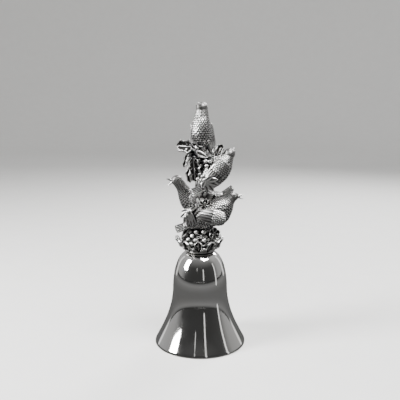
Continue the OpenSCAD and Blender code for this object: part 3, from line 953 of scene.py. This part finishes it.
def around(azimuth, elevation, distance):
    """A place round the object: azimuth 0 is in front of it and 90 to its right."""
    a, e = math.radians(azimuth), math.radians(elevation)
    return Vector((math.sin(a) * math.cos(e), -math.cos(a) * math.cos(e), math.sin(e))) * distance + MIDDLE


def aimed(obj, at):
    obj.location = at
    obj.rotation_euler = (MIDDLE - at).to_track_quat("-Z", "Y").to_euler()
    bpy.context.scene.collection.objects.link(obj)


def lamp(name, at, size, power):
    """A soft box that the metal mirrors but no camera sees."""
    data = bpy.data.lights.new(name, "AREA")
    data.shape = "RECTANGLE"
    data.size, data.size_y = size
    data.energy = power
    obj = bpy.data.objects.new(name, data)
    aimed(obj, at)
    obj.visible_camera = False


def only_mirrored(obj):
    """Keeps a studio card out of sight and out of the light, so that only reflections show it."""
    obj.visible_camera = obj.visible_diffuse = obj.visible_shadow = obj.visible_transmission = False
    obj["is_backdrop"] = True


def glowing(name, strength):
    """A shader that gives off plain white light and reflects nothing."""
    s = Shader(name)
    s.main.inputs["Base Color"].default_value = (0, 0, 0, 1)
    s.main.inputs["Specular IOR Level"].default_value = 0
    s.main.inputs["Emission Color"].default_value = (1, 1, 1, 1)
    s.main.inputs["Emission Strength"].default_value = strength
    return s


def oblong(name, width, height, shader):
    """A flat oblong about the origin, not yet in the scene."""
    w, h = width / 2, height / 2
    mesh = bpy.data.meshes.new(name)
    mesh.from_pydata([(-w, -h, 0), (w, -h, 0), (w, h, 0), (-w, h, 0)], [], [(0, 1, 2, 3)])
    mesh.materials.append(shader.material)
    return bpy.data.objects.new(name, mesh)


def card(name, azimuth, elevation, size, strength, distance=0.42):
    """A flat glowing card, which the plating reflects as a strip of light."""
    obj = oblong(name, *size, glowing(name, strength))
    aimed(obj, around(azimuth, elevation, distance))
    only_mirrored(obj)


def tent():
    """A dim tent round the studio, brighter overhead and behind, which only reflections see."""
    rows, columns = 25, 48
    e = (np.linspace(0, math.pi, rows) - math.pi / 2)[:, None]
    a = circle(columns)[None, :]
    shell = TENT * np.stack([np.cos(e) * np.cos(a), np.cos(e) * np.sin(a), np.sin(e) + 0 * a], -1)
    i, j = np.meshgrid(np.arange(rows - 1), np.arange(columns), indexing="ij")
    k = (j + 1) % columns
    corners = [i * columns + j, i * columns + k, (i + 1) * columns + k, (i + 1) * columns + j]
    mesh = bpy.data.meshes.new("tent")
    mesh.from_pydata(shell.reshape(-1, 3).tolist(), [], np.stack(corners, -1).reshape(-1, 4).tolist())
    s = glowing("tent_cloth", 1.0)
    where = s.add("ShaderNodeTexCoord")
    split = s.add("ShaderNodeSeparateXYZ")
    s.join(where.outputs["Object"], split.inputs["Vector"])
    above = s.maths("ADD", s.maths("MULTIPLY", split.outputs["Z"], 0.5 / TENT), 0.5)
    behind = s.maths("ADD", s.maths("MULTIPLY", split.outputs["Y"], 0.5 / TENT), 0.5)
    top = s.grey_ramp(above, [(0.3, 0.02), (0.72, 0.03), (0.95, 0.2)])
    sides = s.grey_ramp(behind, [(0.1, 0.015), (0.3, 0.03), (0.5, 0.3), (0.85, 0.42)])
    s.join(s.maths("ADD", top, sides), s.main.inputs["Emission Color"])
    mesh.materials.append(s.material)
    obj = bpy.data.objects.new("tent", mesh)
    bpy.context.scene.collection.objects.link(obj)
    only_mirrored(obj)


def table_flag():
    """A dim table top just above the paper, which only reflections see."""
    s = glowing("table_flag", 1.0)
    where = s.add("ShaderNodeTexCoord")
    out = s.add("ShaderNodeVectorMath", operation="LENGTH")
    s.join(where.outputs["Object"], out.inputs[0])
    shade = s.grey_ramp(out.outputs["Value"], [(0.1, 0.13), (0.2, 0.21), (0.3, 0.16), (0.46, 0.03)])
    s.join(shade, s.main.inputs["Emission Color"])
    obj = oblong("table_flag", 1.4, 1.4, s)
    obj.location.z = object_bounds()[0][2] + 0.0001
    bpy.context.scene.collection.objects.link(obj)
    only_mirrored(obj)


def sweep():
    """Pale paper that runs along the floor and curves up behind, all the way round."""
    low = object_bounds()[0][2]
    flat, bend, columns = 12, 14, 64
    turn = np.linspace(0, math.pi / 2, bend)[1:]
    radii = np.concatenate([np.linspace(0.02, 0.9, flat), 0.9 + 0.5 * np.sin(turn), [1.4]])
    rise = np.concatenate([np.zeros(flat), 0.5 - 0.5 * np.cos(turn), [1.8]])
    points = [(0, 0, low)]
    for r, z in zip(radii, rise):
        points += [(r * math.cos(t), r * math.sin(t), low + z) for t in circle(columns)]
    faces = [(0, 1 + j, 1 + (j + 1) % columns) for j in range(columns)]
    for ring in range(len(radii) - 1):
        start = 1 + ring * columns
        for j in range(columns):
            k = (j + 1) % columns
            faces.append((start + j, start + columns + j, start + columns + k, start + k))
    mesh = bpy.data.meshes.new("paper_sweep")
    mesh.from_pydata(points, [], faces)
    mesh.shade_smooth()
    mesh.materials.append(paint("floor_paper", (0.74, 0.735, 0.72), 0.7))
    obj = bpy.data.objects.new("paper_sweep", mesh)
    bpy.context.scene.collection.objects.link(obj)
    obj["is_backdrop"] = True


def studio():
    sweep()
    tent()
    table_flag()
    world = bpy.data.worlds.new("studio")
    world.use_nodes = True
    world.node_tree.nodes["Background"].inputs["Color"].default_value = (0.97, 0.98, 1.0, 1)
    world.node_tree.nodes["Background"].inputs["Strength"].default_value = 0.75
    bpy.context.scene.world = world

    lamp("key_box", around(-72, 28, 0.45), (0.15, 0.28), 6.0)
    lamp("top_box", around(48, 64, 0.42), (0.20, 0.16), 3.4)
    lamp("back_box", around(150, 35, 0.5), (0.16, 0.24), 2.4)
    card("front_strip", 15, 6, (0.013, 0.08), 1.1, distance=0.2)
    card("right_strip", 70, 2, (0.012, 0.15), 1.3, distance=0.17)
    card("left_edge", -124, 4, (0.04, 0.18), 1.0, distance=0.2)
    card("right_edge", 124, 4, (0.04, 0.18), 1.0, distance=0.2)
    card("low_streak", -14, 20, (0.012, 0.06), 1.0)


def camera():
    centre = Vector((0, 0, 0.0607))
    rise, distance = math.radians(10), 0.228
    eye = centre + distance * Vector((0, -math.cos(rise), math.sin(rise)))
    data = bpy.data.cameras.new("camera")
    data.lens = 50
    data.sensor_width = 36
    obj = bpy.data.objects.new("camera", data)
    obj.location = eye
    obj.rotation_euler = (centre - eye).to_track_quat("-Z", "Y").to_euler()
    bpy.context.scene.collection.objects.link(obj)
    bpy.context.scene.camera = obj


bell()
hangings()
stem()
collar()
right_bird()
left_bird()
middle_bird()
top_bird()
upper_foliage()
sprays()
rear_foliage()
studio()
camera()
